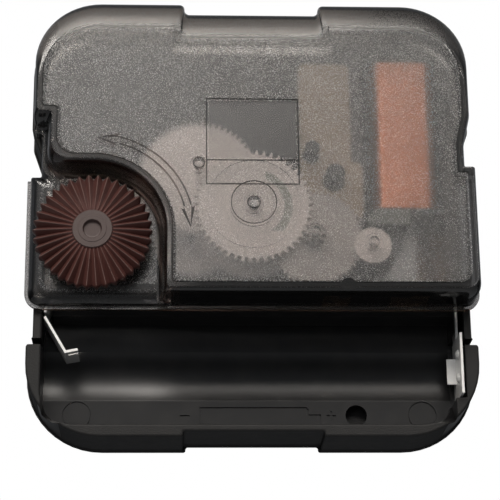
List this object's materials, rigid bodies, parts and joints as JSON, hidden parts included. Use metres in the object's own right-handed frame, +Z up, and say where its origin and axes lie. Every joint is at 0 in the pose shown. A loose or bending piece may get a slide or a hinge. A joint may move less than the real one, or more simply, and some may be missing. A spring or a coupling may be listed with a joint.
{
  "type": "quartz clock movement",
  "caption": "Battery quartz clock movement seen from behind: smoky rear cover over coil and train, ribbed setting knob, open battery bay and threaded hand stem.",
  "frame": {"origin": "on the axis of the hand stem, in the plane of the case's flat front face", "axes": "+Y along the hand stem towards the dial, +Z up, battery bay at the bottom, +X to the right seen from behind"},
  "size_m": [0.056, 0.0323, 0.056],
  "materials": {
    "case_plastic": "fine matte grain",
    "smoke_cover": "smoky see-through with a fine grain",
    "knob_plastic": "glossy, lighter on the rib crests",
    "wheel_plastic": "satin",
    "holder_plastic": "matte, tan",
    "bobbin_plastic": "matte",
    "brass": "turned",
    "steel": "brushed",
    "nickel": "bright plating",
    "copper_wire": "enamelled",
    "board": "resin board",
    "ferrite": "sintered",
    "epoxy": "glossy"
  },
  "bodies": {
    "movement_case": {"front_case": "case_plastic", "rear_cover": "smoke_cover", "threaded_stem": "brass", "stator_holder": "holder_plastic", "stator_long_leg": "steel", "stator_core": "steel", "coil_bobbin": "bobbin_plastic", "coil_winding_core": "copper_wire", "coil_outer_layer": "copper_wire", "circuit_board": "board", "chip_blob": "epoxy", "quartz_crystal": "nickel", "negative_contact_anchor": "nickel", "positive_contact": "nickel"},
    "rotor": {"rotor_pinion": "wheel_plastic", "rotor_magnet": "ferrite"},
    "intermediate": {"intermediate_wheel": "wheel_plastic"},
    "second_hand_shaft": {"second_wheel": "wheel_plastic", "second_shaft": "steel"},
    "third": {"third_wheel": "wheel_plastic"},
    "centre": {"centre_wheel": "wheel_plastic"},
    "minute_hand_shaft": {"minute_shaft": "brass"},
    "minute_gear": {"minute_wheel": "wheel_plastic"},
    "hour_hand_tube": {"hour_wheel": "wheel_plastic"},
    "idler": {"setting_idler": "wheel_plastic"},
    "knob": {"setting_knob": "knob_plastic", "setting_gear": "wheel_plastic"},
    "negative_leaf": {"negative_contact_leaf": "nickel"}
  },
  "joints": [
    {"name": "intermediate_turn", "type": "hinge", "parent": "movement_case", "child": "intermediate", "pos_m": [0.0075, -0.0103, -0.0036], "axis": [0, 1, 0], "continuous": true},
    {"name": "rotor_turn", "type": "hinge", "parent": "movement_case", "child": "rotor", "pos_m": [0.0146, -0.007, -0.0049], "axis": [0, 1, 0], "continuous": true},
    {"name": "second_turn", "type": "hinge", "parent": "movement_case", "child": "second_hand_shaft", "pos_m": [0, -0.0117, 0], "axis": [0, 1, 0], "continuous": true},
    {"name": "third_turn", "type": "hinge", "parent": "movement_case", "child": "third", "pos_m": [-0.0067, -0.0077, 0.00514], "axis": [0, 1, 0], "continuous": true},
    {"name": "centre_turn", "type": "hinge", "parent": "movement_case", "child": "centre", "pos_m": [0, -0.0064, 0], "axis": [0, 1, 0], "continuous": true},
    {"name": "knob_turn", "type": "hinge", "parent": "movement_case", "child": "knob", "pos_m": [-0.0196, -0.0125, -0.00345], "axis": [0, 1, 0], "continuous": true},
    {"name": "idler_turn", "type": "hinge", "parent": "movement_case", "child": "idler", "pos_m": [-0.01473, -0.0044, 0.00225], "axis": [0, 1, 0], "continuous": true},
    {"name": "minute_gear_turn", "type": "hinge", "parent": "movement_case", "child": "minute_gear", "pos_m": [-0.00709, -0.004, -0.00125], "axis": [0, 1, 0], "continuous": true},
    {"name": "minute_turn", "type": "hinge", "parent": "movement_case", "child": "minute_hand_shaft", "pos_m": [0, -0.0044, 0], "axis": [0, 1, 0], "continuous": true},
    {"name": "hour_turn", "type": "hinge", "parent": "movement_case", "child": "hour_hand_tube", "pos_m": [0, -0.0031, 0], "axis": [0, 1, 0], "continuous": true},
    {"name": "contact_leaf_bend", "type": "hinge", "parent": "movement_case", "child": "negative_leaf", "pos_m": [-0.02545, -0.00505, -0.01275], "axis": [0, 1, 0], "range_deg": [0, 20], "stiffness_Nm_per_rad": 0.03}
  ],
  "couplings": [
    {"joint": "rotor_turn", "follows": "intermediate_turn", "ratio": -5},
    {"joint": "second_turn", "follows": "intermediate_turn", "ratio": -0.16667},
    {"joint": "third_turn", "follows": "intermediate_turn", "ratio": 0.022222},
    {"joint": "centre_turn", "follows": "intermediate_turn", "ratio": -0.0027778},
    {"joint": "idler_turn", "follows": "knob_turn", "ratio": -1.5},
    {"joint": "minute_gear_turn", "follows": "knob_turn", "ratio": 0.83333},
    {"joint": "minute_turn", "follows": "knob_turn", "ratio": -2.5},
    {"joint": "hour_turn", "follows": "knob_turn", "ratio": -0.20833}
  ]
}
